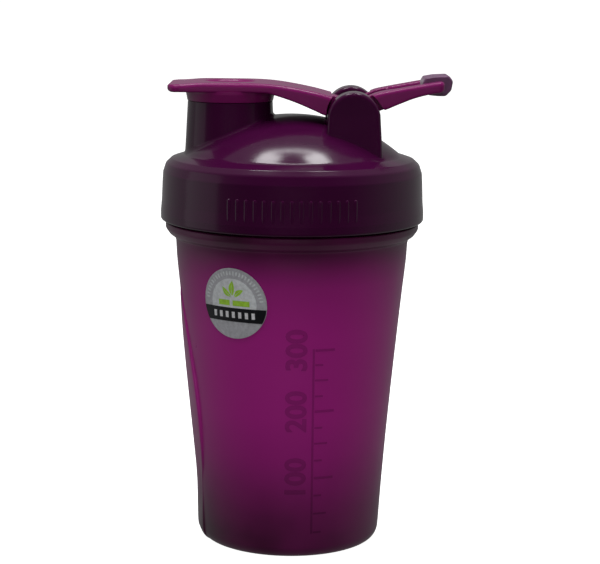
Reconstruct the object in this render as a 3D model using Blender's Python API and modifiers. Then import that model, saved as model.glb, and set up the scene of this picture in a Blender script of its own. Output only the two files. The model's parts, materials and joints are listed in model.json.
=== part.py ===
"""Shaker bottle: a tapered translucent cup with a two-start screw lid, a flip cap over the spout,
a carry loop on the same hinge pin, a seal ring, a wire mixing ball and a round label.

Metres, +Z up.  The origin is the centre of the cup's foot, the spout is at -X and the loop at +X.
"""
import math

import bmesh
import bpy
from mathutils import Matrix, Vector

MM = 0.001
TURN = 2.0 * math.pi

# Cup (millimetres; every length below is in millimetres unless its name says otherwise)
CUP_TURN = math.radians(11.0)
FOOT_RADIUS = 31.2
FOOT_ROUND = 3.0
BODY_LEVELS = ((3.0, 34.2), (20.0, 35.25), (39.0, 36.65), (58.0, 38.25), (77.0, 40.0), (95.0, 41.75),
               (101.0, 42.4), (107.5, 43.15), (113.5, 43.4))
BEAD_RADIUS = 47.3
BEAD_LOW_Z = 118.0
BEAD_TOP_Z = 120.8
NECK_RADIUS = 43.9
NECK_BORE = 41.6
RIM_Z = 137.0
WALL = 1.6
FLOOR_Z = 2.4

# Side panel of the cup: height, plane distance from the axis, and half width
PANEL_LEVELS = ((0.5, 33.0, 7.2), (3.0, 34.6, 8.0), (22.0, 34.8, 9.0), (32.0, 35.7, 11.6), (45.0, 37.05, 12.4),
                (58.0, 38.5, 11.8), (70.0, 39.85, 9.8), (82.0, 41.1, 6.8), (94.0, 42.1, 2.6))
PANEL_CUT_TOP_Z = 40.0

# Screw thread between the neck and the lid: two starts, right hand
THREAD_STARTS = 2
THREAD_LEAD = 12.0
THREAD_STEPS = 12
RIDGE_RADIUS = 1.0
CUP_RIDGE_RADIUS = 44.4
CUP_RIDGE_Z = 126.5
CUP_RIDGE_SWEEP = math.radians(200.0)
LID_RIDGE_RADIUS = 45.5
LID_RIDGE_DROP = 2.5
LID_RIDGE_SWEEP = math.radians(120.0)
LID_RIDGE_START = math.radians(20.0)
THREAD_END_TAPER = 0.55

# Lid
LID_RADIUS = 49.1
LID_LOW_Z = 121.6
LID_BORE = 46.0
LID_CEILING_Z = 139.3
SHOULDER_RADIUS = 41.5
SHOULDER_Z = 145.4
DOME_RADIUS = 62.0
DOME_CENTRE_Z = 98.8
DOME_WALL = 2.0

# Spout
SPOUT_X = -23.4
SPOUT_TOP_RADIUS = 15.7
SPOUT_LOW_RADIUS = 17.0
SPOUT_TOP_Z = 165.6
SPOUT_LOW_Z = 146.0
SPOUT_BORE = 13.2

# Hinge: lugs on the lid, and the pin that the flip cap and the carry loop share
PIVOT_X = 22.0
PIVOT_Z = 162.0
PIVOT = (PIVOT_X, 0.0, PIVOT_Z)
LUG_OUTER_Y = 23.0
LUG_INNER_Y = 11.0
LUG_ARCH_RADIUS = 9.6
LUG_ARCH_Z = 160.8
LUG_FOOT_X = (11.4, 33.0)
LUG_FOOT_Z = 142.5
PIN_RADIUS = 1.6
PIN_BLIND_Y = -18.0
HUB_RADIUS = 4.3
HUB_GAP = 0.4
CAP_HUB_Y = 5.0
LOOP_EYE_Y = 10.4
RUNNING_GAP = 0.3

# Flip cap
CAP_HALF_WIDTH = 16.0
CAP_END_X = -45.9
CAP_TOP_Z = 172.9
CAP_UNDER_Z = 169.4
CAP_NOTCH_RADIUS = 10.5
COLLAR_RADIUS = 16.6
COLLAR_LOW_Z = SPOUT_TOP_Z + RUNNING_GAP
PLUG_RADIUS = 12.8
PLUG_BORE = 11.0
PLUG_LOW_Z = 161.6
DISH_RADIUS = 9.5
DISH_DEPTH = 0.7

# Carry loop and its grip
LOOP_HALF_WIDTH = 15.0
LOOP_GAP_HALF = 8.0
LOOP_NOTCH_RADIUS = 11.6
LOOP_GAP_START_X = 35.5
LOOP_END_X = 55.0
BAR_X = (50.2, 54.4)
BAR_Z = (170.6, 173.4)
GRIP_X = (47.3, 58.6)
GRIP_Z = (168.4, 176.0)
GRIP_HALF_WIDTH = 7.7
GRIP_FIT = 0.35

# Seal ring
SEAL_RADII = (42.0, 45.6)
SEAL_Z = (RIM_Z + RUNNING_GAP, LID_CEILING_Z - RUNNING_GAP)

# Mixing ball: a wire wound into a spherical coil
BALL_RADIUS = 23.4
BALL_WIRE = 0.95
BALL_TURNS = 8
BALL_POINTS = 16
BALL_POLE = math.radians(14.0)
BALL_TILT = math.radians(28.0)
BALL_PLACE = (5.0, -3.0)

# Label
LABEL_RADIUS = 13.0
LABEL_TURN = math.radians(240.5)
LABEL_Z = 95.7
LABEL_LIFT = (0.3, 0.5)

SEGMENTS_LARGE = 64
SEGMENTS_SMALL = 40
MERGE = 1e-5
SHARP_ANGLE = math.radians(60.0)


def clear_scene():
    for item in list(bpy.data.objects):
        bpy.data.objects.remove(item, do_unlink=True)


def new_collection(name):
    group = bpy.data.collections.new(name)
    bpy.context.scene.collection.children.link(group)
    return group


def new_material(name, colour, roughness, metallic=0.0):
    material = bpy.data.materials.new(name)
    material.use_nodes = True
    shader = material.node_tree.nodes["Principled BSDF"]
    shader.inputs["Base Color"].default_value = (*colour, 1.0)
    shader.inputs["Roughness"].default_value = roughness
    shader.inputs["Metallic"].default_value = metallic
    material.diffuse_color = (*colour, 1.0)
    return material


def new_object(name, mesh, group, material=None):
    item = bpy.data.objects.new(name, mesh)
    group.objects.link(item)
    if material is not None:
        mesh.materials.append(material)
    if group is CUTTERS:
        item.hide_render = True
        item.display_type = 'WIRE'
    return item


def turned(name, profile, group, material=None, centre=(0.0, 0.0), segments=SEGMENTS_LARGE, closed=False):
    """Turn a radius-height profile about the vertical line through centre."""
    mesh = bpy.data.meshes.new(name)
    shape = bmesh.new()
    points = [shape.verts.new((radius * MM, 0.0, height * MM)) for radius, height in profile]
    pairs = list(zip(points, points[1:]))
    if closed:
        pairs.append((points[-1], points[0]))
    for pair in pairs:
        shape.edges.new(pair)
    shape.to_mesh(mesh)
    shape.free()
    item = new_object(name, mesh, group, material)
    item.location = (centre[0] * MM, centre[1] * MM, 0.0)
    screw = item.modifiers.new("turn", 'SCREW')
    screw.axis = 'Z'
    screw.angle = TURN
    screw.steps = segments
    screw.render_steps = segments
    screw.use_merge_vertices = True
    screw.merge_threshold = MERGE
    screw.use_smooth_shade = True
    return item


def arc(centre, radius, start, end, count):
    """Points of an arc in a radius-height plane, angles in degrees."""
    angles = [math.radians(start + (end - start) * i / count) for i in range(count + 1)]
    return [(centre[0] + radius * math.cos(a), centre[1] + radius * math.sin(a)) for a in angles]


def mesh_from_curve(item, name, group, material=None, flat=False):
    """Replace a curve object by a mesh with its caps welded on, and with whole flat faces where asked."""
    bpy.context.view_layer.update()
    graph = bpy.context.evaluated_depsgraph_get()
    mesh = bpy.data.meshes.new_from_object(item.evaluated_get(graph))
    mesh.name = name
    mesh.transform(item.matrix_world)
    bpy.data.objects.remove(item, do_unlink=True)
    shape = bmesh.new()
    shape.from_mesh(mesh)
    bmesh.ops.remove_doubles(shape, verts=shape.verts, dist=MERGE)
    if flat:
        bmesh.ops.dissolve_limit(shape, angle_limit=0.001, verts=shape.verts, edges=shape.edges)
    bmesh.ops.recalc_face_normals(shape, faces=shape.faces)
    shape.to_mesh(mesh)
    shape.free()
    return new_object(name, mesh, group, material)


def outline_slab(name, outline, half, group, material=None, upright=True, middle=0.0):
    """Extrude a flat outline: an x-z outline along y, or with upright False an x-y outline along z."""
    curve = bpy.data.curves.new(name, 'CURVE')
    curve.dimensions = '2D'
    curve.fill_mode = 'BOTH'
    curve.extrude = half * MM
    spline = curve.splines.new('POLY')
    spline.points.add(len(outline) - 1)
    for point, (across, along) in zip(spline.points, outline):
        point.co = (across * MM, along * MM, 0.0, 1.0)
    spline.use_cyclic_u = True
    item = bpy.data.objects.new(name, curve)
    bpy.context.scene.collection.objects.link(item)
    if upright:
        item.rotation_euler = (math.pi / 2.0, 0.0, 0.0)
        item.location = (0.0, middle * MM, 0.0)
    else:
        item.location = (0.0, 0.0, middle * MM)
    return mesh_from_curve(item, name, group, material, flat=True)


def tube(name, route, radius, group, material=None, taper=None):
    """A round wire along a list of points, with filled ends and an optional radius for each point."""
    curve = bpy.data.curves.new(name, 'CURVE')
    curve.dimensions = '3D'
    curve.bevel_depth = radius * MM
    curve.bevel_resolution = 2
    curve.use_fill_caps = True
    spline = curve.splines.new('POLY')
    spline.points.add(len(route) - 1)
    for index, place in enumerate(route):
        spline.points[index].co = (*[value * MM for value in place], 1.0)
        spline.points[index].radius = 1.0 if taper is None else taper[index]
    item = bpy.data.objects.new(name, curve)
    bpy.context.scene.collection.objects.link(item)
    return mesh_from_curve(item, name, group, material)


def rod(name, radius, start, end, group, material=None, centre=(0.0, 0.0), segments=SEGMENTS_SMALL):
    """A cylinder along y from start to end, through (x, z) = centre."""
    mesh = bpy.data.meshes.new(name)
    shape = bmesh.new()
    bmesh.ops.create_cone(shape, cap_ends=True, segments=segments, radius1=radius * MM,
                          radius2=radius * MM, depth=(end - start) * MM)
    shape.to_mesh(mesh)
    shape.free()
    item = new_object(name, mesh, group, material)
    item.rotation_euler = (math.pi / 2.0, 0.0, 0.0)
    item.location = (centre[0] * MM, 0.5 * (start + end) * MM, centre[1] * MM)
    return item


def box(name, low, high, group):
    """A block between two corners."""
    mesh = bpy.data.meshes.new(name)
    shape = bmesh.new()
    bmesh.ops.create_cube(shape, size=1.0)
    for vert in shape.verts:
        for axis in range(3):
            middle = 0.5 * (low[axis] + high[axis])
            vert.co[axis] = (middle + vert.co[axis] * (high[axis] - low[axis])) * MM
    shape.to_mesh(mesh)
    shape.free()
    return new_object(name, mesh, group)


def move_origin(item, place):
    """Put an object's origin at a place, leaving its shape where it is."""
    shift = Vector([value * MM for value in place])
    item.data.transform(Matrix.Translation(-shift))
    item.location = shift


def combine(item, other, operation):
    change = item.modifiers.new(operation.lower(), 'BOOLEAN')
    change.operation = operation
    change.solver = 'EXACT'
    change.object = other


def smooth(item):
    item.data.shade_smooth()
    item.data.set_sharp_from_angle(angle=SHARP_ANGLE)


def body_radius(height):
    """Outer radius of the plain cup wall at a height."""
    for (low, first), (high, second) in zip(BODY_LEVELS, BODY_LEVELS[1:]):
        if height <= high:
            break
    return first + (second - first) * (height - low) / (high - low)


def cup_outer_profile():
    """Rim down to the centre of the foot."""
    profile = [(0.0, RIM_Z), (NECK_RADIUS - 0.4, RIM_Z), (NECK_RADIUS, RIM_Z - 0.4)]
    profile += [(NECK_RADIUS, BEAD_TOP_Z)]
    profile += [(BEAD_RADIUS - 0.7, BEAD_TOP_Z), (BEAD_RADIUS, BEAD_TOP_Z - 0.7), (BEAD_RADIUS, BEAD_LOW_Z)]
    profile += [(46.4, 116.9), (45.0, 116.2), (43.9, 115.1)]
    profile += [(radius, height) for height, radius in reversed(BODY_LEVELS)]
    profile += arc((FOOT_RADIUS, FOOT_ROUND), FOOT_ROUND, 0.0, -90.0, 3)[1:]
    profile += [(0.0, 0.0)]
    return profile


def cup_cavity_profile():
    """Above the rim down the inside of the wall to the centre of the floor."""
    profile = [(0.0, RIM_Z + 3.0), (NECK_BORE, RIM_Z + 3.0), (NECK_BORE, BEAD_TOP_Z - 2.0)]
    profile += [(radius - WALL, height) for height, radius in BODY_LEVELS[-3:1:-1]]
    profile += [(32.9, 12.0), (32.2, 6.5), (30.6, 3.6), (28.4, FLOOR_Z), (0.0, FLOOR_Z)]
    return profile


def loft(name, sections, group):
    """Join a stack of four-cornered sections into one closed body."""
    mesh = bpy.data.meshes.new(name)
    shape = bmesh.new()
    rings = [[shape.verts.new([value * MM for value in corner]) for corner in section] for section in sections]
    for below, above in zip(rings, rings[1:]):
        for i in range(4):
            j = (i + 1) % 4
            shape.faces.new((below[i], below[j], above[j], above[i]))
    shape.faces.new(rings[0][::-1])
    shape.faces.new(rings[-1])
    bmesh.ops.recalc_face_normals(shape, faces=shape.faces)
    shape.to_mesh(mesh)
    shape.free()
    return new_object(name, mesh, group)


def panel_section(near, far, half, height):
    return ((near, -half, height), (far, -half, height), (far, half, height), (near, half, height))


def cup_panel():
    """The raised side panel, a flat face that is wide low down and runs out to nothing near the top."""
    sections = [panel_section(20.0, distance, half, height) for height, distance, half in PANEL_LEVELS]
    item = loft("cup_panel", sections, CUTTERS)
    item.rotation_euler = (0.0, 0.0, CUP_TURN + math.pi)
    return item


def cup_panel_cut():
    """Shaves the round wall back to the panel's plane where the wall stands proud of it."""
    levels = [(height, distance) for height, distance, half in PANEL_LEVELS if height < PANEL_CUT_TOP_Z]
    levels = [(-1.0, levels[1][1])] + levels[1:] + [(PANEL_CUT_TOP_Z, levels[-1][1] + 0.85)]
    sections = [panel_section(distance - 0.1, 45.0, 14.0, height) for height, distance in levels]
    item = loft("cup_panel_cut", sections, CUTTERS)
    item.rotation_euler = (0.0, 0.0, CUP_TURN + math.pi)
    return item


def thread_ridge(name, radius, start_turn, start_z, sweep):
    """One helical ridge whose ends run out."""
    route = []
    taper = []
    for i in range(THREAD_STEPS + 1):
        part_turn = sweep * i / THREAD_STEPS
        angle = start_turn + part_turn
        height = start_z + THREAD_LEAD * part_turn / TURN
        route.append((radius * math.cos(angle), radius * math.sin(angle), height))
        taper.append(THREAD_END_TAPER if i in (0, THREAD_STEPS) else 1.0)
    return tube(name, route, RIDGE_RADIUS, CUTTERS, taper=taper)


def build_cup(material):
    cup = turned("cup", cup_outer_profile(), PARTS, material)
    combine(cup, cup_panel_cut(), 'DIFFERENCE')
    combine(cup, cup_panel(), 'UNION')
    combine(cup, turned("cup_cavity", cup_cavity_profile(), CUTTERS), 'DIFFERENCE')
    for start in range(THREAD_STARTS):
        turn = start * TURN / THREAD_STARTS
        ridge = thread_ridge(f"cup_ridge_{start}", CUP_RIDGE_RADIUS, turn, CUP_RIDGE_Z, CUP_RIDGE_SWEEP)
        combine(cup, ridge, 'UNION')


def build_seal(material):
    inner, outer = SEAL_RADII
    low, high = SEAL_Z
    profile = [(inner, high), (outer - 0.4, high), (outer, high - 0.4), (outer, low + 0.4), (outer - 0.4, low),
               (inner, low)]
    turned("seal_ring", profile, PARTS, material, segments=SEGMENTS_SMALL, closed=True)


def dome_height(radius, wall=0.0):
    return DOME_CENTRE_Z + math.sqrt((DOME_RADIUS - wall) ** 2 - radius ** 2)


def lid_outer_profile():
    """Crown of the dome down to the lower edge of the skirt, then across to the axis."""
    steps = 8
    radii = [40.6 * i / steps for i in range(steps + 1)]
    profile = [(radius, dome_height(radius)) for radius in radii]
    profile += [(SHOULDER_RADIUS, SHOULDER_Z), (45.0, 144.0)]
    profile += [(46.4, 143.1), (47.4, 141.8), (48.1, 139.6), (48.5, 136.5), (48.75, 128.8), (LID_RADIUS, 125.0)]
    profile += [(LID_RADIUS, LID_LOW_Z + 1.2), (LID_RADIUS - 1.2, LID_LOW_Z), (0.0, LID_LOW_Z)]
    return profile


def lid_cavity_profile():
    steps = 7
    radii = [39.2 * i / steps for i in range(steps + 1)]
    profile = [(radius, dome_height(radius, DOME_WALL)) for radius in radii]
    profile += [(40.4, LID_CEILING_Z), (LID_BORE, LID_CEILING_Z), (LID_BORE, LID_LOW_Z - 2.0)]
    profile += [(0.0, LID_LOW_Z - 2.0)]
    return profile


def lug_outline():
    """Tombstone outline in x-z: an arch on sides that spread a little down to the dome."""
    arch = arc((PIVOT_X, LUG_ARCH_Z), LUG_ARCH_RADIUS, 170.0, 10.0, 12)
    return [(LUG_FOOT_X[0], LUG_FOOT_Z)] + arch + [(LUG_FOOT_X[1], LUG_FOOT_Z)]


def build_lid(material):
    lid = turned("lid", lid_outer_profile(), PARTS, material)
    spout_profile = [(0.0, SPOUT_TOP_Z), (SPOUT_TOP_RADIUS - 0.5, SPOUT_TOP_Z),
                     (SPOUT_TOP_RADIUS, SPOUT_TOP_Z - 0.5), (SPOUT_LOW_RADIUS - 0.6, SPOUT_LOW_Z + 4.0),
                     (SPOUT_LOW_RADIUS, SPOUT_LOW_Z), (SPOUT_LOW_RADIUS, SPOUT_LOW_Z - 3.0),
                     (0.0, SPOUT_LOW_Z - 3.0)]
    spout_place = (SPOUT_X, 0.0)
    combine(lid, turned("spout", spout_profile, CUTTERS, centre=spout_place, segments=SEGMENTS_SMALL), 'UNION')
    pin_hole = rod("pin_hole", PIN_RADIUS + RUNNING_GAP, PIN_BLIND_Y - RUNNING_GAP, LUG_OUTER_Y + 5.0, CUTTERS,
                   centre=(PIVOT_X, PIVOT_Z), segments=24)
    for side in (-1, 1):
        middle = side * 0.5 * (LUG_OUTER_Y + LUG_INNER_Y)
        half = 0.5 * (LUG_OUTER_Y - LUG_INNER_Y)
        lug = outline_slab(f"lug_{side + 1}", lug_outline(), half, CUTTERS, middle=middle)
        combine(lug, pin_hole, 'DIFFERENCE')
        combine(lid, lug, 'UNION')
    combine(lid, turned("lid_cavity", lid_cavity_profile(), CUTTERS), 'DIFFERENCE')
    lid_ridge_z = CUP_RIDGE_Z + THREAD_LEAD * LID_RIDGE_START / TURN - LID_RIDGE_DROP
    for start in range(THREAD_STARTS):
        turn = start * TURN / THREAD_STARTS + LID_RIDGE_START
        ridge = thread_ridge(f"lid_ridge_{start}", LID_RIDGE_RADIUS, turn, lid_ridge_z, LID_RIDGE_SWEEP)
        combine(lid, ridge, 'UNION')
    bore_top = SPOUT_TOP_Z + 5.0
    bore_low = LID_CEILING_Z + 2.0
    bore_profile = [(0.0, bore_top), (SPOUT_BORE, bore_top), (SPOUT_BORE, bore_low), (0.0, bore_low)]
    combine(lid, turned("spout_bore", bore_profile, CUTTERS, centre=spout_place, segments=SEGMENTS_SMALL),
            'DIFFERENCE')


def build_pin(material):
    rod("hinge_pin", PIN_RADIUS, PIN_BLIND_Y, LUG_OUTER_Y - 0.4, PARTS, material, centre=(PIVOT_X, PIVOT_Z),
        segments=24)


def cap_side_outline():
    """Side view of the flip cap: thumb tab, plate, and the arm that dips and thickens to the hinge."""
    top = [(CAP_END_X, 171.4), (-45.0, 172.0), (-40.0, 172.3), (-34.0, CAP_TOP_Z), (-14.0, CAP_TOP_Z),
           (-7.0, 172.5), (0.4, 171.4), (8.0, 169.9), (15.0, 168.1), (PIVOT_X, PIVOT_Z + HUB_RADIUS)]
    under = [(PIVOT_X, PIVOT_Z - HUB_RADIUS + 1.2), (16.0, 160.4), (11.3, 161.6), (7.7, 163.2), (0.5, 166.2),
             (-6.8, 168.6), (-10.5, CAP_UNDER_Z), (-44.0, CAP_UNDER_Z), (-45.2, 170.1)]
    return top + under


def cap_plan_outline():
    """Plan of the flip cap: straight sides, rounded corners, and a narrow tongue into the hinge."""
    corner = 5.0
    half = CAP_HALF_WIDTH
    outline = arc((CAP_END_X + corner, half - corner), corner, 180.0, 90.0, 6)
    outline += [(-12.0, half), (4.0, half - 0.5), (16.0, half - 0.5), (16.0, CAP_HUB_Y), (30.0, CAP_HUB_Y)]
    return outline + [(x, -y) for x, y in reversed(outline)]


def notch(name, radius, inner, side):
    start, end = sorted((side * inner, side * 24.0))
    return rod(name, radius, start, end, CUTTERS, centre=(PIVOT_X, PIVOT_Z))


def build_flip_cap(material):
    cap = outline_slab("flip_cap", cap_side_outline(), CAP_HALF_WIDTH + 2.0, PARTS, material)
    move_origin(cap, PIVOT)
    plan = outline_slab("cap_plan", cap_plan_outline(), 25.0, CUTTERS, upright=False, middle=165.0)
    combine(cap, plan, 'INTERSECT')
    for side in (-1, 1):
        combine(cap, notch(f"cap_notch_{side + 1}", CAP_NOTCH_RADIUS, CAP_HUB_Y, side), 'DIFFERENCE')
    hub = rod("cap_hub", HUB_RADIUS, -CAP_HUB_Y, CAP_HUB_Y, CUTTERS, centre=(PIVOT_X, PIVOT_Z))
    combine(cap, hub, 'UNION')
    collar_profile = [(0.0, CAP_UNDER_Z + 1.5), (COLLAR_RADIUS - 0.2, CAP_UNDER_Z + 1.5),
                      (COLLAR_RADIUS - 0.2, CAP_UNDER_Z), (SPOUT_TOP_RADIUS, COLLAR_LOW_Z),
                      (PLUG_RADIUS, COLLAR_LOW_Z), (PLUG_RADIUS - 0.3, PLUG_LOW_Z), (PLUG_BORE, PLUG_LOW_Z),
                      (PLUG_BORE, COLLAR_LOW_Z + 1.5), (0.0, COLLAR_LOW_Z + 1.5)]
    collar = turned("cap_collar", collar_profile, CUTTERS, centre=(SPOUT_X, 0.0), segments=SEGMENTS_SMALL)
    combine(cap, collar, 'UNION')
    ball_radius = (DISH_RADIUS ** 2 + DISH_DEPTH ** 2) / (2.0 * DISH_DEPTH)
    low = math.degrees(math.asin(DISH_RADIUS / ball_radius)) + 1.0
    dish_profile = arc((0.0, CAP_TOP_Z - DISH_DEPTH + ball_radius), ball_radius, -90.0 + low, -90.0, 5)
    dish_profile = [(0.0, dish_profile[0][1])] + dish_profile
    dish = turned("cap_dish", dish_profile, CUTTERS, centre=(SPOUT_X, 0.0), segments=SEGMENTS_SMALL)
    combine(cap, dish, 'DIFFERENCE')
    hole = rod("cap_pin_hole", PIN_RADIUS + RUNNING_GAP, -30.0, 30.0, CUTTERS, centre=(PIVOT_X, PIVOT_Z),
               segments=24)
    combine(cap, hole, 'DIFFERENCE')


def loop_side_outline():
    """Side view of the carry loop: it leaves the hub low and rises in a gentle curve."""
    top = [(20.0, 164.6), (23.0, PIVOT_Z + HUB_RADIUS), (30.0, 169.6), (34.5, 170.5), (44.4, 172.3),
           (49.9, 173.4), (LOOP_END_X, 174.3)]
    under = [(LOOP_END_X, 170.3), (49.4, 169.4), (44.1, 168.0), (38.5, 165.8), (34.3, 164.0), (30.0, 162.4),
             (24.0, 158.6), (20.0, 159.4)]
    return top + under


def build_carry_loop(material):
    loop = outline_slab("carry_loop", loop_side_outline(), LOOP_HALF_WIDTH, PARTS, material)
    move_origin(loop, PIVOT)
    for side in (-1, 1):
        combine(loop, notch(f"loop_notch_{side + 1}", LOOP_NOTCH_RADIUS, LOOP_EYE_Y, side), 'DIFFERENCE')
    slot_half = CAP_HUB_Y + HUB_GAP
    slot = box("loop_slot", (10.0, -slot_half, 150.0), (LOOP_GAP_START_X + 1.0, slot_half, 185.0), CUTTERS)
    combine(loop, slot, 'DIFFERENCE')
    gap = box("loop_gap", (LOOP_GAP_START_X, -LOOP_GAP_HALF, 150.0), (70.0, LOOP_GAP_HALF, 185.0), CUTTERS)
    combine(loop, gap, 'DIFFERENCE')
    bar = box("loop_bar", (BAR_X[0], -LOOP_GAP_HALF - 2.0, BAR_Z[0]), (BAR_X[1], LOOP_GAP_HALF + 2.0, BAR_Z[1]),
              CUTTERS)
    combine(loop, bar, 'UNION')
    for side in (-1, 1):
        start, end = sorted((side * slot_half, side * LOOP_EYE_Y))
        eye = rod(f"loop_eye_{side + 1}", HUB_RADIUS, start, end, CUTTERS, centre=(PIVOT_X, PIVOT_Z))
        combine(loop, eye, 'UNION')
    hole = rod("loop_pin_hole", PIN_RADIUS + RUNNING_GAP, -30.0, 30.0, CUTTERS, centre=(PIVOT_X, PIVOT_Z),
               segments=24)
    combine(loop, hole, 'DIFFERENCE')


def build_loop_grip(material):
    """A soft sleeve on the loop's end bar."""
    low, high = GRIP_X
    outline = [(low, 171.0), (low + 0.8, 169.9), (low + 3.2, GRIP_Z[0] + 0.2), (high - 4.0, GRIP_Z[0]),
               (high - 1.4, GRIP_Z[0] + 1.2), (high - 0.1, GRIP_Z[0] + 3.0), (high, GRIP_Z[1] - 1.8),
               (high - 1.4, GRIP_Z[1]), (low + 4.5, GRIP_Z[1] - 0.3), (low + 1.2, GRIP_Z[1] - 0.9),
               (low, 173.8)]
    grip = outline_slab("loop_grip", outline, GRIP_HALF_WIDTH, PARTS, material)
    move_origin(grip, PIVOT)
    hole = box("grip_hole", (BAR_X[0] - GRIP_FIT, -20.0, BAR_Z[0] - GRIP_FIT),
               (BAR_X[1] + GRIP_FIT, 20.0, BAR_Z[1] + GRIP_FIT), CUTTERS)
    combine(grip, hole, 'DIFFERENCE')


def build_ball(material):
    """A spherical wire coil, tilted, resting on the floor of the cup."""
    count = BALL_TURNS * BALL_POINTS
    route = []
    for i in range(count + 1):
        polar = BALL_POLE + (math.pi - 2.0 * BALL_POLE) * i / count
        turn = TURN * BALL_TURNS * i / count
        x = BALL_RADIUS * math.sin(polar) * math.cos(turn)
        y = BALL_RADIUS * math.sin(polar) * math.sin(turn)
        z = BALL_RADIUS * math.cos(polar)
        tilted_x = x * math.cos(BALL_TILT) + z * math.sin(BALL_TILT)
        tilted_z = z * math.cos(BALL_TILT) - x * math.sin(BALL_TILT)
        route.append((tilted_x, y, tilted_z))
    lift = FLOOR_Z + RUNNING_GAP + BALL_WIRE - min(place[2] for place in route)
    route = [(x + BALL_PLACE[0], y + BALL_PLACE[1], z + lift) for x, y, z in route]
    ball = tube("mixing_ball", route, BALL_WIRE, PARTS, material)
    move_origin(ball, (*BALL_PLACE, lift))
    smooth(ball)


def build_label(material):
    """A thin round label bent to the wall: a slice of a shell, cut by a round punch."""
    heights = (LABEL_Z + 15.0, LABEL_Z, LABEL_Z - 15.0)
    outer = [(body_radius(height) + LABEL_LIFT[1], height) for height in heights]
    inner = [(body_radius(height) + LABEL_LIFT[0], height) for height in reversed(heights)]
    label = turned("label", outer + inner, PARTS, material, segments=96, closed=True)
    mesh = bpy.data.meshes.new("label_punch")
    shape = bmesh.new()
    bmesh.ops.create_cone(shape, cap_ends=True, segments=SEGMENTS_SMALL, radius1=LABEL_RADIUS * MM,
                          radius2=LABEL_RADIUS * MM, depth=30.0 * MM)
    shape.to_mesh(mesh)
    shape.free()
    punch = new_object("label_punch", mesh, CUTTERS)
    reach = body_radius(LABEL_Z)
    punch.rotation_euler = (0.0, math.pi / 2.0, LABEL_TURN)
    punch.location = (reach * math.cos(LABEL_TURN) * MM, reach * math.sin(LABEL_TURN) * MM, LABEL_Z * MM)
    combine(label, punch, 'INTERSECT')


clear_scene()
PARTS = new_collection("shaker_bottle")
CUTTERS = new_collection("cutters")

tinted = new_material("translucent_magenta", (0.16, 0.012, 0.11), 0.35)
deep = new_material("deep_purple_plastic", (0.055, 0.006, 0.04), 0.38)
bright = new_material("magenta_plastic", (0.22, 0.01, 0.14), 0.35)
soft = new_material("grip_rubber", (0.06, 0.03, 0.06), 0.6)
rubber = new_material("seal_rubber", (0.75, 0.74, 0.74), 0.5)
steel = new_material("stainless_wire", (0.7, 0.7, 0.72), 0.2, 1.0)
paper = new_material("label_film", (0.62, 0.62, 0.64), 0.4)

build_cup(tinted)
build_seal(rubber)
build_lid(deep)
build_pin(steel)
build_flip_cap(bright)
build_carry_loop(bright)
build_loop_grip(soft)
build_ball(steel)
build_label(paper)
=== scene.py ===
"""Looks for a shaker bottle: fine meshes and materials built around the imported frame.

The frame is in metres with +Z up, the spout at -X and the carry loop at +X.  Shapes below are drawn in
millimetres, and MM turns them into metres.
"""
import json
from math import asin, ceil, copysign, cos, exp, hypot, pi, radians, sin, sqrt, tan

import bmesh
import bpy
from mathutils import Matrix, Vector


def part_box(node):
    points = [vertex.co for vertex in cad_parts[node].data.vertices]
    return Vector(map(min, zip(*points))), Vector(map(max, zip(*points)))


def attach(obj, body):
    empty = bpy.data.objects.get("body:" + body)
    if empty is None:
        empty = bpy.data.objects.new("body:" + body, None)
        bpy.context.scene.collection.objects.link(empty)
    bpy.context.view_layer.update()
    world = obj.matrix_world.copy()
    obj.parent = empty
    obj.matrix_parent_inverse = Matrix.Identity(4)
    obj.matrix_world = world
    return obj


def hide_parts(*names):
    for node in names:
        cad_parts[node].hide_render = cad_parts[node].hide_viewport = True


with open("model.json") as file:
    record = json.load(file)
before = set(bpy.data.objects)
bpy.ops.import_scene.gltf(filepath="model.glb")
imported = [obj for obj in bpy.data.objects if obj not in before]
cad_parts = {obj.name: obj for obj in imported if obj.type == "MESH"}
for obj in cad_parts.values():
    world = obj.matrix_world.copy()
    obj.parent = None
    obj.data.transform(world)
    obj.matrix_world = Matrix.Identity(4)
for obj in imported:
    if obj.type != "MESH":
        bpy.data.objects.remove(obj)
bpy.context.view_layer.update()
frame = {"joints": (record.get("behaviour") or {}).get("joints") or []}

MM = 0.001
TURN = 2.0 * pi
POLE = 1e-6


def corners(node):
    """A CAD node's lowest and highest corners in millimetres."""
    low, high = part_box(node)
    return [value / MM for value in low], [value / MM for value in high]


# Places and sizes that come from the frame
CUP_HIGH = corners("cup")[1]
LID_LOW, LID_HIGH = corners("lid")
CAP_LOW, CAP_HIGH = corners("flip_cap")
LOOP_HIGH = corners("carry_loop")[1]
GRIP_LOW, GRIP_HIGH = corners("loop_grip")
PIN_LOW, PIN_HIGH = corners("hinge_pin")
SEAL_LOW, SEAL_HIGH = corners("seal_ring")
BALL_LOW, BALL_HIGH = corners("mixing_ball")
LABEL_LOW, LABEL_HIGH = corners("label")
PIVOT = [value / MM for value in next(j for j in frame["joints"] if j["name"] == "flip_cap")["pos_m"]]
PIVOT_XZ = (PIVOT[0], PIVOT[2])

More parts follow.
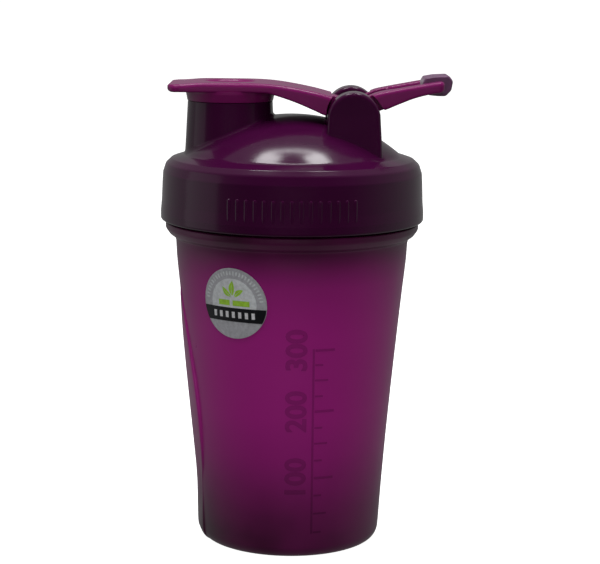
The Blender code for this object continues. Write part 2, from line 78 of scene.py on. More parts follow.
# Cup
RIM_Z = CUP_HIGH[2]
BEAD_RADIUS = CUP_HIGH[0]
NECK_RADIUS = 43.9
NECK_BORE = 41.6
WALL = 1.6
FLOOR_Z = 2.4
FOOT_RADIUS = 31.0
FOOT_ROUND = 4.6
BODY_LEVELS = ((3.0, 34.2), (20.0, 35.25), (39.0, 36.65), (58.0, 38.25), (77.0, 40.0), (95.0, 41.75),
               (107.0, 43.0), (113.5, 43.4))
WALL_TOP_Z = 113.5
PANEL_TURN = radians(191.0)
PANEL_LEVELS = ((0.0, 34.1, 7.6), (3.0, 34.6, 8.0), (22.0, 34.8, 9.0), (32.0, 35.7, 11.4),
                (45.0, 37.05, 12.3), (58.0, 38.5, 11.8), (70.0, 39.85, 9.8), (82.0, 41.1, 6.8),
                (94.0, 42.1, 2.6), (99.0, 42.3, 1.6))
PANEL_TOP_Z = 94.0
PANEL_TRIM = 1.3
PANEL_ROLL = 0.45
PANEL_EDGE = ((-0.95, True, 0.0), (-0.6, True, 0.04), (-0.35, True, 0.13), (-0.16, True, 0.28),
              (-0.06, True, 0.47), (0.0, True, 0.7), (0.07, False, 0.3), (0.22, False, 0.1),
              (0.5, False, 0.0), (1.6, False, 0.0))
THREAD_LEAD = 12.0
PRINT_LIFT = 0.08

# Lid
LID_RADIUS = LID_HIGH[1]
LID_LOW_Z = LID_LOW[2]
LID_BORE = 46.0
CEILING_Z = 139.3
CROWN_RADIUS = 40.2
DOME_RADIUS = 62.0
DOME_CENTRE_Z = 98.8
DOME_WALL = 2.0
SPOUT_X = -23.4
SPOUT_TOP_Z = 165.6
SPOUT_BORE = 13.2
SPOUT_LOW_Z = 144.0
SPOUT_FOOT_RADIUS = 16.9
SPOUT_TAPER = 16.9 - 15.7
LUG_Y = (11.0, 23.0)
LUG_ARCH_RADIUS = 9.6
LUG_ARCH_Z = 160.8
LUG_FOOT_X = (11.4, 33.0)
LUG_EDGE = 1.5

# Hinged pieces
HUB_RADIUS = 4.3
PIN_RADIUS = PIN_HIGH[2] - PIVOT[2]
PIN_HOLE = PIN_RADIUS + 0.3
CAP_HUB_Y = 5.0
LOOP_EYE_Y = 10.4
LOOP_EYE_INNER_Y = 5.4
CAP_NOTCH = 10.0
LOOP_NOTCH = ((1.0, 11.6), (2.2, 11.2), (3.6, 10.4), (7.0, 9.8))

# Label on the cup
LABEL_TURN = radians(240.5)
LABEL_Z = 0.5 * (LABEL_LOW[2] + LABEL_HIGH[2])
LABEL_RADIUS = 0.5 * (LABEL_HIGH[2] - LABEL_LOW[2])


# Curves and outlines

def curve_value(points, at):
    """A smooth curve through (place, value) points, read at a place."""
    count = len(points)
    index = 0
    while index < count - 2 and at > points[index + 1][0]:
        index += 1
    (x0, y0), (x1, y1) = points[index], points[index + 1]
    before = points[max(index - 1, 0)]
    after = points[min(index + 2, count - 1)]
    slope_0 = (y1 - before[1]) / (x1 - before[0])
    slope_1 = (after[1] - y0) / (after[0] - x0)
    span = x1 - x0
    t = min(max((at - x0) / span, 0.0), 1.0)
    return ((2 * t ** 3 - 3 * t ** 2 + 1) * y0 + (t ** 3 - 2 * t ** 2 + t) * span * slope_0
            + (3 * t ** 2 - 2 * t ** 3) * y1 + (t ** 3 - t ** 2) * span * slope_1)


def spaced(start, end, count):
    return [start + (end - start) * i / count for i in range(count + 1)]


def arc(centre, radius, start, end, count):
    """Points of an arc, angles in degrees."""
    angles = [radians(value) for value in spaced(start, end, count)]
    return [(centre[0] + radius * cos(a), centre[1] + radius * sin(a)) for a in angles]


def rounded(points, steps):
    """Round an open outline: each point is (across, along, fillet radius)."""
    line = [points[0][:2]]
    for before, here, after in zip(points, points[1:], points[2:]):
        corner = Vector(here[:2])
        back = Vector(before[:2]) - corner
        ahead = Vector(after[:2]) - corner
        angle = back.angle(ahead)
        if here[2] <= 0.0 or angle > radians(178.0):
            line.append(tuple(corner))
            continue
        reach = min(here[2] / tan(0.5 * angle), 0.49 * back.length, 0.49 * ahead.length)
        first = corner + back.normalized() * reach
        last = corner + ahead.normalized() * reach
        for i in range(steps + 1):
            t = i / steps
            line.append(tuple(first * (1 - t) ** 2 + corner * 2 * t * (1 - t) + last * t * t))
    line.append(points[-1][:2])
    return line


def refined(line, step):
    """Add points so that no stretch of an outline is longer than a step."""
    result = [line[0]]
    for (x0, y0), (x1, y1) in zip(line, line[1:]):
        parts = max(1, ceil(hypot(x1 - x0, y1 - y0) / step))
        result += [(x0 + (x1 - x0) * i / parts, y0 + (y1 - y0) * i / parts) for i in range(1, parts + 1)]
    return result


# Mesh building

def linked(name, data):
    """A new object for a mesh, curve, lamp or camera, put into the scene."""
    item = bpy.data.objects.new(name, data)
    bpy.context.scene.collection.objects.link(item)
    return item


def final_mesh(item):
    """A mesh of an object as its curve settings or modifiers make it."""
    bpy.context.view_layer.update()
    return bpy.data.meshes.new_from_object(item.evaluated_get(bpy.context.evaluated_depsgraph_get()))


def new_vertices(shape, ring):
    return [shape.verts.new([value * MM for value in point]) for point in ring]


def add_rings(shape, rings, around=True, ends=True, material=0):
    """Join rings of points into a skin.  A ring of one point is a pole."""
    made = [new_vertices(shape, ring) for ring in rings]
    faces = []
    for below, above in zip(made, made[1:]):
        count = max(len(below), len(above))
        for i in range(count if around else count - 1):
            j = (i + 1) % count
            if len(below) == 1:
                faces.append(shape.faces.new((below[0], above[j], above[i])))
            elif len(above) == 1:
                faces.append(shape.faces.new((below[i], below[j], above[0])))
            else:
                faces.append(shape.faces.new((below[i], below[j], above[j], above[i])))
    if ends:
        for ring in (made[0], made[-1]):
            if len(ring) > 2:
                faces.append(shape.faces.new(ring))
    for face in faces:
        face.material_index = material
    bmesh.ops.recalc_face_normals(shape, faces=faces)


def add_loop(shape, rings):
    """Join closed rings of equal count into a skin that comes back to its start."""
    made = [new_vertices(shape, ring) for ring in rings]
    count = len(made[0])
    faces = [shape.faces.new((below[i], below[(i + 1) % count], above[(i + 1) % count], above[i]))
             for below, above in zip(made, made[1:] + made[:1]) for i in range(count)]
    bmesh.ops.recalc_face_normals(shape, faces=faces)


def turned_rings(profile, segments, centre=(0.0, 0.0)):
    """Rings of a profile of (radius, height) turned about a vertical line."""
    turns = [TURN * i / segments for i in range(segments)]
    return [[(centre[0] + radius * cos(turn), centre[1] + radius * sin(turn), height)
             for turn in (turns if radius > POLE else turns[:1])] for radius, height in profile]


def add_turned(shape, profile, segments, centre=(0.0, 0.0)):
    """Turn an open profile whose ends lie on the axis, or a closed one that comes back to its start."""
    rings = turned_rings(profile, segments, centre)
    if profile[0][0] < POLE and profile[-1][0] < POLE:
        add_rings(shape, rings, ends=False)
    else:
        add_loop(shape, rings)


def turned_shape(profile, segments, centre=(0.0, 0.0)):
    shape = bmesh.new()
    add_turned(shape, profile, segments, centre)
    return shape


def add_tube(shape, route, radius, sides, taper):
    """A round wire along a route of points, closed at both ends, with a share of its radius at each."""
    places = [Vector(place) for place in route]
    across = None
    rings = []
    for i, place in enumerate(places):
        ahead = (places[min(i + 1, len(places) - 1)] - places[max(i - 1, 0)]).normalized()
        if across is None:
            across = ahead.orthogonal().normalized()
        across = (across - ahead * across.dot(ahead)).normalized()
        other = ahead.cross(across)
        rings.append([place + (across * cos(TURN * k / sides) + other * sin(TURN * k / sides))
                      * radius * taper[i] for k in range(sides)])
    add_rings(shape, rings)


def slab_from_outline(name, outlines, half, middle, edge):
    """A flat plate with rounded edges from x-z outlines, later ones being holes, standing along y."""
    curve = bpy.data.curves.new(name, 'CURVE')
    curve.dimensions = '2D'
    curve.fill_mode = 'BOTH'
    curve.extrude = (half - edge) * MM
    curve.bevel_depth = edge * MM
    curve.bevel_resolution = 4
    curve.offset = -edge * MM
    for outline in outlines:
        spline = curve.splines.new('POLY')
        spline.points.add(len(outline) - 1)
        for point, (across, along) in zip(spline.points, outline):
            point.co = (across * MM, along * MM, 0.0, 1.0)
        spline.use_cyclic_u = True
    item = linked(name, curve)
    item.rotation_euler = (pi / 2.0, 0.0, 0.0)
    item.location = (0.0, middle * MM, 0.0)
    mesh = final_mesh(item)
    mesh.transform(item.matrix_world)
    bpy.data.objects.remove(item, do_unlink=True)
    return mesh


def add_mesh(shape, mesh):
    """Put a ready mesh into a shape, with its loose caps welded on."""
    part = bmesh.new()
    part.from_mesh(mesh)
    bmesh.ops.remove_doubles(part, verts=part.verts, dist=1e-6)
    bmesh.ops.recalc_face_normals(part, faces=part.faces)
    part.to_mesh(mesh)
    part.free()
    shape.from_mesh(mesh)
    bpy.data.meshes.remove(mesh)


def new_object(name, shape, materials, sharp=32.0):
    mesh = bpy.data.meshes.new(name)
    shape.to_mesh(mesh)
    shape.free()
    for material in materials:
        mesh.materials.append(material)
    mesh.shade_smooth()
    mesh.set_sharp_from_angle(angle=radians(sharp))
    return linked(name, mesh)


def apply_cut(item, cutter_shape):
    """Cut an object with a shape and keep the result as its mesh."""
    cutter_mesh = bpy.data.meshes.new("cutter")
    cutter_shape.to_mesh(cutter_mesh)
    cutter_shape.free()
    cutter = linked("cutter", cutter_mesh)
    change = item.modifiers.new("cut", 'BOOLEAN')
    change.operation = 'DIFFERENCE'
    change.solver = 'EXACT'
    change.object = cutter
    mesh = final_mesh(item)
    item.modifiers.remove(change)
    old = item.data
    item.data = mesh
    bpy.data.meshes.remove(old)
    bpy.data.objects.remove(cutter, do_unlink=True)
    bpy.data.meshes.remove(cutter_mesh)


def add_piece(name, shape, materials, body, replaces, sharp=32.0):
    """Make an object, even out its shading beside small roundings, and hand it to the frame."""
    item = new_object(name, shape, materials, sharp)
    even = item.modifiers.new("even_shading", 'WEIGHTED_NORMAL')
    even.keep_sharp = True
    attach(item, body)
    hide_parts(replaces)


# Materials

PLASTIC_IOR = 1.49
# Share of painted shade mixed into the cup's colour by height: most at the foot and under the collar.
PAINTED_SHADE_BY_HEIGHT = [(0.0, 1.0), (0.06, 0.97), (0.13, 0.84), (0.22, 0.56), (0.32, 0.25), (0.45, 0.03),
                  (0.7, 0.0), (0.85, 0.2), (0.9, 0.5), (0.95, 0.9), (1.0, 1.0)]


def set_inputs(node, settings):
    for name, value in settings.items():
        node.inputs[name].default_value = value


class Nodes:
    """A material's node tree with short calls for adding and joining nodes."""

    def __init__(self, name):
        self.material = bpy.data.materials.new(name)
        self.material.use_nodes = True
        self.tree = self.material.node_tree
        self.shader = self.tree.nodes["Principled BSDF"]

    def add(self, kind):
        return self.tree.nodes.new(kind)

    def link(self, source, target):
        self.tree.links.new(source, target)

    def noise(self, scale, detail, rough):
        place = self.add("ShaderNodeTexCoord")
        noise = self.add("ShaderNodeTexNoise")
        set_inputs(noise, {"Scale": scale, "Detail": detail, "Roughness": rough})
        self.link(place.outputs["Object"], noise.inputs["Vector"])
        return noise.outputs["Fac"]

    def ramp(self, source, stops):
        """Map a value through a colour ramp of (place, grey or colour) stops."""
        ramp = self.add("ShaderNodeValToRGB")
        points = ramp.color_ramp.elements
        while len(points) < len(stops):
            points.new(0.5)
        for point, (place, colour) in zip(points, stops):
            point.position = place
            if isinstance(colour, float):
                colour = (colour, colour, colour)
            point.color = (*colour, 1.0)
        self.link(source, ramp.inputs["Fac"])
        return ramp.outputs["Color"]

    def mix(self, factor, first, second):
        """Mix two colours; each may be a socket or a colour, and the factor a socket or a number."""
        node = self.add("ShaderNodeMix")
        node.data_type = 'RGBA'
        for place, value in ((0, factor), (6, first), (7, second)):
            if hasattr(value, "is_output"):
                self.link(value, node.inputs[place])
            else:
                node.inputs[place].default_value = (*value, 1.0) if place else value
        return node.outputs[2]

    def bump(self, height, strength, distance):
        bump = self.add("ShaderNodeBump")
        set_inputs(bump, {"Strength": strength, "Distance": distance})
        self.link(height, bump.inputs["Height"])
        return bump.outputs["Normal"]

    def dress(self, colour, roughness, normal, settings):
        """Join a colour, a roughness and a bump to the shader, set other inputs, and give the material."""
        for source, name in ((colour, "Base Color"), (roughness, "Roughness"), (normal, "Normal")):
            self.link(source, self.shader.inputs[name])
        set_inputs(self.shader, settings)
        return self.material

    def height_share(self, low, high):
        """0 at one height of the object and 1 at another, in millimetres."""
        place = self.add("ShaderNodeTexCoord")
        split = self.add("ShaderNodeSeparateXYZ")
        spread = self.add("ShaderNodeMapRange")
        set_inputs(spread, {"From Min": low * MM, "From Max": high * MM})
        self.link(place.outputs["Object"], split.inputs["Vector"])
        self.link(split.outputs["Z"], spread.inputs["Value"])
        return spread.outputs["Result"]


def scaled(colour, factor):
    return tuple(min(1.0, value * factor) for value in colour)


def moulded_plastic(name, colour, roughness):
    """Satin injection moulding: fine tool grain, soft cloudy variation, edges rubbed a little lighter."""
    nodes = Nodes(name)
    cloud = nodes.noise(38.0, 4.0, 0.55)
    base = nodes.mix(nodes.ramp(cloud, [(0.3, 0.0), (0.7, 1.0)]), scaled(colour, 0.9), scaled(colour, 1.08))
    edge = nodes.add("ShaderNodeNewGeometry").outputs["Pointiness"]
    rubbed = nodes.ramp(edge, [(0.52, 0.0), (0.6, 1.0)])
    base = nodes.mix(nodes.mix(0.5, (0.0, 0.0, 0.0), rubbed), base, scaled(colour, 1.35))
    smudge = nodes.noise(75.0, 3.0, 0.5)
    return nodes.dress(base, nodes.ramp(smudge, [(0.25, roughness - 0.02), (0.75, roughness + 0.03)]),
                       nodes.bump(nodes.noise(1300.0, 2.0, 0.6), 0.12, 0.00003), {"IOR": PLASTIC_IOR})


def frosted_plastic(name, colour, shadow_colour, clear):
    """Tinted frosted wall that lets a little light through, with painted shade making it darker at the foot
    and under the collar.
    """
    nodes = Nodes(name)
    # Painted shade: the colour darkens towards the shadow colour at the foot and under the collar.
    shade = nodes.ramp(nodes.height_share(0.0, 120.0), PAINTED_SHADE_BY_HEIGHT)
    cloud = nodes.noise(24.0, 3.0, 0.5)
    base = nodes.mix(nodes.ramp(cloud, [(0.35, 0.0), (0.65, 0.16)]), nodes.mix(shade, colour, shadow_colour),
                     scaled(colour, 1.25))
    smudge = nodes.noise(60.0, 5.0, 0.6)
    return nodes.dress(base, nodes.ramp(smudge, [(0.25, 0.27), (0.75, 0.36)]),
                       nodes.bump(nodes.noise(1500.0, 3.0, 0.6), 0.22, 0.00005),
                       {"IOR": PLASTIC_IOR, "Transmission Weight": clear})


def soft_rubber(name, colour, roughness, grain):
    """Soft-touch rubber with a visible fine grain and a faint bloom."""
    nodes = Nodes(name)
    cloud = nodes.noise(130.0, 4.0, 0.6)
    base = nodes.mix(nodes.ramp(cloud, [(0.35, 0.0), (0.7, 1.0)]), scaled(colour, 0.85),
                     scaled(colour, 1.2))
    cells = nodes.add("ShaderNodeTexVoronoi")
    cells.inputs["Scale"].default_value = 1700.0
    nodes.link(nodes.add("ShaderNodeTexCoord").outputs["Object"], cells.inputs["Vector"])
    return nodes.dress(base, nodes.ramp(cloud, [(0.3, roughness - 0.05), (0.7, roughness + 0.1)]),
                       nodes.bump(cells.outputs["Distance"], grain, 0.00008), {"Sheen Weight": 0.25})


def drawn_wire(name):
    """Bright drawn stainless wire with fine marks."""
    nodes = Nodes(name)
    marks = nodes.noise(900.0, 3.0, 0.6)
    return nodes.dress(nodes.ramp(marks, [(0.3, (0.5, 0.5, 0.52)), (0.7, (0.68, 0.68, 0.69))]),
                       nodes.ramp(marks, [(0.3, 0.14), (0.7, 0.3)]), nodes.bump(marks, 0.1, 0.00003),
                       {"Metallic": 1.0})


def printed_film(name, colour, metallic, roughness):
    """Print or foil on a sticker: a hair of mottle and a slightly uneven gloss."""
    nodes = Nodes(name)
    mottle = nodes.noise(700.0, 4.0, 0.65)
    spots = nodes.ramp(mottle, [(0.35, 0.0), (0.65, 1.0)])
    tint = nodes.mix(spots, scaled(colour, 0.86), scaled(colour, 1.1))
    return nodes.dress(tint, nodes.ramp(mottle, [(0.3, roughness), (0.7, roughness + 0.12)]),
                       nodes.bump(mottle, 0.15, 0.00003), {"Metallic": metallic})


# Cup

def wall_radius(height):
    return curve_value(BODY_LEVELS, height)


def panel_values(height):
    """Plane distance and half width of the side panel at a height."""
    distance = curve_value([(z, d) for z, d, w in PANEL_LEVELS], height)
    half = curve_value([(z, w) for z, d, w in PANEL_LEVELS], height) - PANEL_TRIM
    return distance, max(half, 1.2)


def cup_columns(height, plain):
    """Mesh columns at a height, gathered at the panel's edges: angle, on it or not, and step from it."""
    half = panel_values(min(height, PANEL_LEVELS[-1][0]))[1]
    right = [(half * share, True, 0.0) for share in (0.0, 0.3, 0.55, 0.75)]
    right += [(half + out, flat, step) for out, flat, step in PANEL_EDGE]
    columns = [(-out, flat, step) for out, flat, step in reversed(right[1:])] + right
    reach = wall_radius(min(height, WALL_TOP_Z))
    made = [(asin(out / reach), flat, step) for out, flat, step in columns]
    span = TURN - 2.0 * made[-1][0]
    return made + [(made[-1][0] + span * i / plain, False, 0.0) for i in range(1, plain)]


def cup_outside():
    """Outer profile from the foot's centre up to the rim."""
    foot = [(0.0, 0.8, 0.0), (26.2, 0.8, 0.5), (27.4, 0.0, 0.4), (FOOT_RADIUS, 0.0, 0.0)]
    line = rounded(foot, 6)
    line += [(FOOT_RADIUS + 3.25 * sin(angle), FOOT_ROUND * (1.0 - cos(angle)))
             for angle in spaced(0.0, 0.5 * pi, 12)[1:]]
    line += [(wall_radius(z), z) for z in spaced(6.0, WALL_TOP_Z, 72)]
    neck = [(43.4, WALL_TOP_Z, 0.0), (43.8, 115.2, 1.4), (45.8, 116.5, 2.4), (BEAD_RADIUS, 118.6, 2.0),
            (BEAD_RADIUS, 120.8, 0.7), (NECK_RADIUS, 120.8, 0.4), (NECK_RADIUS, RIM_Z, 0.9),
            (NECK_BORE, RIM_Z, 0.8), (NECK_BORE, 130.0, 0.0)]
    return line + rounded(neck, 5)[1:]


def cup_inside():
    """Inner profile from below the rim down to the middle of the floor."""
    line = [(NECK_BORE, 122.0), (NECK_BORE - 0.05, 114.5)]
    line += [(wall_radius(z) - WALL, z) for z in spaced(108.0, 12.0, 24)]
    floor = [(33.1, 12.0, 0.0), (32.6, 3.0, 4.5), (27.0, FLOOR_Z, 2.0), (0.0, FLOOR_Z, 0.0)]
    return line + rounded(floor, 6)[1:]


def build_cup(material):
    profile = [(radius, z, True) for radius, z in cup_outside()]
    profile += [(radius, z, False) for radius, z in cup_inside()]
    rings = []
    for radius, height, outer in profile:
        if radius < POLE:
            rings.append([(0.0, 0.0, height)])
            continue
        on_panel = outer and radius > FOOT_RADIUS and height < PANEL_LEVELS[-1][0]
        distance, half = panel_values(height)
        fade = min(1.0, max(0.0, (PANEL_LEVELS[-1][0] - height) / (PANEL_LEVELS[-1][0] - PANEL_TOP_Z)))
        ring = []
        for angle, flat, step in cup_columns(height, 150):
            size = radius
            if on_panel:
                drop = max(wall_radius(max(height, FOOT_ROUND)) - radius, 0.0)
                share = min(1.0, abs(sin(angle)) * radius / half)
                rise = max(distance / cos(angle) - drop - radius, 0.0) * fade
                rise *= 1.0 - PANEL_ROLL * share ** 3
                small = min(1.0, rise / 1.2)
                size += (rise - step * small) if flat else step * small
            turn = PANEL_TURN + angle
            ring.append((size * cos(turn), size * sin(turn), height))
        rings.append(ring)
    shape = bmesh.new()
    add_rings(shape, rings, ends=False)
    for start in range(2):
        add_thread(shape, 44.0, start * 0.5 * TURN, 126.5, radians(200.0), 1.4)
    add_turned(shape, rounded([(0.0, 0.2, 0.0), (1.6, 0.2, 0.3), (1.6, 1.2, 0.0), (0.0, 1.2, 0.0)], 3), 24)
    add_piece("cup_wall", shape, [material], "cup", "cup", 40.0)


def add_thread(shape, radius, start, low, sweep, size):
    """One helical thread ridge whose ends run out into the wall."""
    steps = 72
    rings = []
    for i in range(steps + 1):
        part = i / steps
        turn = start + sweep * part
        height = low + THREAD_LEAD * sweep * part / TURN
        fade = min(1.0, 9.0 * part, 9.0 * (1.0 - part)) * 0.9 + 0.1
        section = [(-0.6, -size), (0.35, -0.75 * size), (1.35, -0.32 * size), (1.35, 0.32 * size),
                   (0.35, 0.75 * size), (-0.6, size)]
        rings.append([((radius + out * fade) * cos(turn), (radius + out * fade) * sin(turn),
                       height + up * fade) for out, up in section])
    add_rings(shape, rings)


def on_wall(across, height, lift, turn):
    """A point on the cup's wall, across being millimetres round the wall from an angle."""
    radius = wall_radius(height)
    angle = turn + across / radius
    return ((radius + lift) * cos(angle), (radius + lift) * sin(angle), height)


def capacity_heights(step_ml, last_ml):
    """Heights at which the cup holds each step of liquid, from the inner wall."""
    heights = []
    held = 0.0
    target = step_ml
    height = FLOOR_Z
    slice_mm = 0.25
    while target <= last_ml and height < RIM_Z:
        radius = min(wall_radius(max(height, 3.0)) - WALL, 33.1 + 0.06 * height)
        held += pi * radius * radius * slice_mm / 1000.0
        height += slice_mm
        if held >= target:
            heights.append((target, height))
            target += step_ml
    return heights


def flat_bar(across, height, wide, tall, turn):
    """A thin printed bar bent round the wall."""
    columns = max(2, ceil(wide / 1.2))
    rows = max(1, ceil(tall / 4.0))
    return [[on_wall(across + wide * (i / columns - 0.5), height + tall * (k / rows - 0.5), PRINT_LIFT, turn)
             for i in range(columns + 1)] for k in range(rows + 1)]


def add_number(shape, text, across, height, size, turn):
    """A printed number, reading upwards, bent round the wall."""
    curve = bpy.data.curves.new("number", 'FONT')
    curve.body = text
    curve.size = size
    curve.align_x = 'CENTER'
    curve.align_y = 'CENTER'
    curve.resolution_u = 4
    curve.offset = 0.03 * size
    item = linked("number", curve)
    mesh = final_mesh(item)
    bpy.data.objects.remove(item, do_unlink=True)
    flat = bmesh.new()
    flat.from_mesh(mesh)
    bpy.data.meshes.remove(mesh)
    for place in spaced(-0.5 * size, 0.5 * size, 14):
        everything = flat.verts[:] + flat.edges[:] + flat.faces[:]
        bmesh.ops.bisect_plane(flat, geom=everything, plane_co=(0.0, place, 0.0), plane_no=(0.0, 1.0, 0.0))
    made = {vert: shape.verts.new([value * MM for value in
                                   on_wall(across - vert.co.y, height + vert.co.x, PRINT_LIFT, turn)])
            for vert in flat.verts}
    for face in flat.faces:
        shape.faces.new([made[vert] for vert in face.verts])
    flat.free()


def build_scale(material):
    """Graduations at true heights, with a number at every hundred."""
    turn = radians(-90.0)
    shape = bmesh.new()
    marks = capacity_heights(25, 300)
    for amount, height in marks:
        whole = amount % 100 == 0
        wide = 7.4 if whole else (5.0 if amount % 50 == 0 else 3.0)
        add_rings(shape, flat_bar(9.0 + 0.5 * wide, height, wide, 0.9 if whole else 0.7, turn),
                  around=False, ends=False)
        if whole:
            add_number(shape, str(amount), 2.6, height, 10.5, turn)
    low, top = marks[0][1], marks[-1][1]
    add_rings(shape, flat_bar(8.4, 0.5 * (top + low), 0.8, top - low + 1.0, turn), around=False, ends=False)
    item = new_object("cup_scale", shape, [material])
    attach(item, "cup")


# Lid

def dome_height(radius, inset=0.0):
    return DOME_CENTRE_Z + sqrt(max((DOME_RADIUS - inset) ** 2 - radius ** 2, 0.0))


def lid_profile():
    """Crown, shoulder, skirt and back up the inside to the crown's underside."""
    outer = [(radius, dome_height(radius)) for radius in spaced(0.0, CROWN_RADIUS, 42)]
    edge = [(CROWN_RADIUS, dome_height(CROWN_RADIUS), 0.0), (41.2, 145.75, 0.6), (45.2, 144.45, 1.0),
            (47.2, 142.6, 2.2), (48.25, 139.4, 3.0), (48.5, 135.0, 0.0), (48.75, 128.8, 4.0),
            (LID_RADIUS, 124.9, 2.0),
            (LID_RADIUS, LID_LOW_Z, 1.1), (LID_BORE, LID_LOW_Z, 0.4), (LID_BORE, CEILING_Z, 0.6),
            (40.4, CEILING_Z, 0.4), (39.3, dome_height(39.3, DOME_WALL), 0.0)]
    inner = [(radius, dome_height(radius, DOME_WALL)) for radius in spaced(38.4, 0.0, 30)]
    return outer + refined(rounded(edge, 6)[1:], 2.2) + inner


def spout_profile():
    corner = [(SPOUT_BORE, SPOUT_LOW_Z, 0.0), (SPOUT_FOOT_RADIUS, SPOUT_LOW_Z, 0.0), (16.55, 150.0, 4.0),
              (15.75, SPOUT_TOP_Z, 0.3), (SPOUT_BORE, SPOUT_TOP_Z, 0.6), (SPOUT_BORE, 145.0, 0.0)]
    return refined(rounded(corner, 5), 1.6)


def spout_reach(height):
    """Outer radius of the spout at a height."""
    return SPOUT_FOOT_RADIUS - SPOUT_TAPER * (height - SPOUT_LOW_Z) / (SPOUT_TOP_Z - SPOUT_LOW_Z)


def add_spout_fillet(shape):
    """The soft concave joint where the spout meets the dome."""
    size, segments = 1.7, 128
    middle = Vector((SPOUT_X, 0.0))
    rings = []
    for i in range(segments):
        turn = TURN * i / segments
        away = Vector((cos(turn), sin(turn)))
        height = 152.0
        for _ in range(6):
            height = dome_height((middle + away * spout_reach(height)).length)
        foot = middle + away * (spout_reach(height) + size)
        start = Vector((*(middle + away * (spout_reach(height) - 0.15)), height + size))
        corner = Vector((*(middle + away * spout_reach(height)), height))
        end = Vector((*foot, dome_height(foot.length) - 0.02))
        points = [start * (1 - t) ** 2 + corner * 2 * t * (1 - t) + end * t * t
                  for t in spaced(0.0, 1.0, 6)]
        inward = Vector((*-away, -0.8))
        points += [end + inward, start + inward]
        rings.append([tuple(point) for point in points])
    add_loop(shape, rings)


def dome_inside():
    """A ball that trims what stands on the dome to within its wall."""
    reach = DOME_RADIUS - 1.1
    line = [(0.0, DOME_CENTRE_Z - reach)] + arc((0.0, DOME_CENTRE_Z), reach, -80.0, 80.0, 150)
    return turned_shape(line + [(0.0, DOME_CENTRE_Z + reach)], 160)


def lug_outline():
    arch = arc((PIVOT[0], LUG_ARCH_Z), LUG_ARCH_RADIUS, 170.0, 10.0, 40)
    return [(LUG_FOOT_X[0], 140.0)] + arch + [(LUG_FOOT_X[1], 140.0)]


def circle(centre, radius, count=40):
    return arc(centre, radius, 0.0, 360.0 * (count - 1) / count, count - 1)


def build_lug(side, material):
    """One hinge lug; only the far one is drilled right through for the pin."""
    middle = side * 0.5 * (LUG_Y[0] + LUG_Y[1])
    shape = bmesh.new()
    half = 0.5 * (LUG_Y[1] - LUG_Y[0])
    add_mesh(shape, slab_from_outline("lug", [lug_outline()], half, middle, LUG_EDGE))
    item = new_object("lid_lug", shape, [material])
    drill = bmesh.new()
    start, end = sorted((side * (LUG_Y[0] - 1.0), side * (LUG_Y[1] + 1.0) if side > 0 else side * 18.4))
    add_rings(drill, [[(x, y, z) for x, z in circle(PIVOT_XZ, PIN_HOLE)] for y in (start, end)])
    apply_cut(item, drill)
    apply_cut(item, dome_inside())
    return item


def add_rib(shape, turn, low, high, radius, half, lift):
    """One rounded vertical grip rib on the skirt."""
    rings = []
    for z in spaced(low - half, high + half, 18):
        over = max(low - z, z - high, 0.0)
        size = sqrt(max(half * half - over * over, 0.0004))
        ring = []
        for angle in spaced(0.0, pi, 8):
            out = radius - 0.5 + (lift + 0.5) * sin(angle) * size / half
            ring.append((turn - size * cos(angle) / radius, out, z))
        rings.append([(r * cos(a), r * sin(a), z) for a, r, z in ring])
    add_rings(shape, rings)


def build_lid(material):
    shell = new_object("lid_shell", turned_shape(lid_profile(), 220), [material])
    punch = [(0.0, 175.0), (14.6, 175.0), (14.6, 135.0), (0.0, 135.0)]
    apply_cut(shell, turned_shape(punch, 96, (SPOUT_X, 0.0)))
    spout = new_object("lid_spout", turned_shape(spout_profile(), 128, (SPOUT_X, 0.0)), [material])
    apply_cut(spout, dome_inside())

    shape = bmesh.new()
    for item in (shell, spout, build_lug(-1, material), build_lug(1, material)):
        shape.from_mesh(item.data)
        bpy.data.objects.remove(item, do_unlink=True)
    add_spout_fillet(shape)
    for start in range(2):
        add_thread(shape, LID_BORE, start * 0.5 * TURN + radians(20.0), 124.7, radians(120.0), -1.4)
    for middle in (radians(-90.0), radians(90.0)):
        for index in range(-7, 8):
            add_rib(shape, middle + index * radians(3.9), 126.6, 133.6, 48.72, 0.95, 0.32)
    add_piece("lid_moulding", shape, [material], "lid", "lid", 34.0)


# Hinge pin, flip cap, loop

def build_pin(material):
    """The pin, a rod with softened ends, the far one of which shows in the far lug."""
    length = [(0.0, PIN_LOW[1], 0.0), (PIN_RADIUS, PIN_LOW[1], 0.3), (PIN_RADIUS, PIN_HIGH[1], 0.45),
              (0.0, PIN_HIGH[1], 0.0)]
    rings = [[(x, along, z) for x, z, along in ring]
             for ring in turned_rings(rounded(length, 5), 48, PIVOT_XZ)]
    shape = bmesh.new()
    add_rings(shape, rings, ends=False)
    add_piece("hinge_pin_rod", shape, [material], "lid", "hinge_pin")


CAP_TOP = ((-45.9, 171.7), (-45.6, 172.0), (-44.8, 172.15), (-40.0, 172.4), (-34.0, 172.85), (-24.0, 172.9),
           (-14.0, 172.85), (-7.0, 172.45), (0.4, 171.4), (8.0, 169.9), (15.0, 168.1), (22.0, 166.3))
CAP_UNDER = ((-45.9, 170.5), (-45.5, 169.95), (-44.6, 169.5), (-43.0, 169.4), (-30.0, 169.4),
             (-10.5, 169.4), (-6.8, 168.6), (0.5, 166.2), (7.7, 163.2), (11.3, 161.6), (16.0, 160.4))
CAP_EDGES = (1.7, 0.6)
CAP_COLUMNS = 84
CAP_BEND_X = 8.0
STRAP_EDGES = (1.5, 0.8)
CAP_CORNER = 3.6
DISH_RADIUS = 9.7
DISH_DEPTH = 0.95
DISH_SLOPE = 1.3


def cap_half_width(x):
    start = CAP_LOW[0] + CAP_CORNER
    if x < start:
        return CAP_HIGH[1] - CAP_CORNER + sqrt(max(CAP_CORNER ** 2 - (start - x) ** 2, 0.01))
    return curve_value(((-41.0, 16.0), (-20.0, 16.0), (-12.0, 16.0), (4.0, 15.5), (16.0, 15.5)), x)


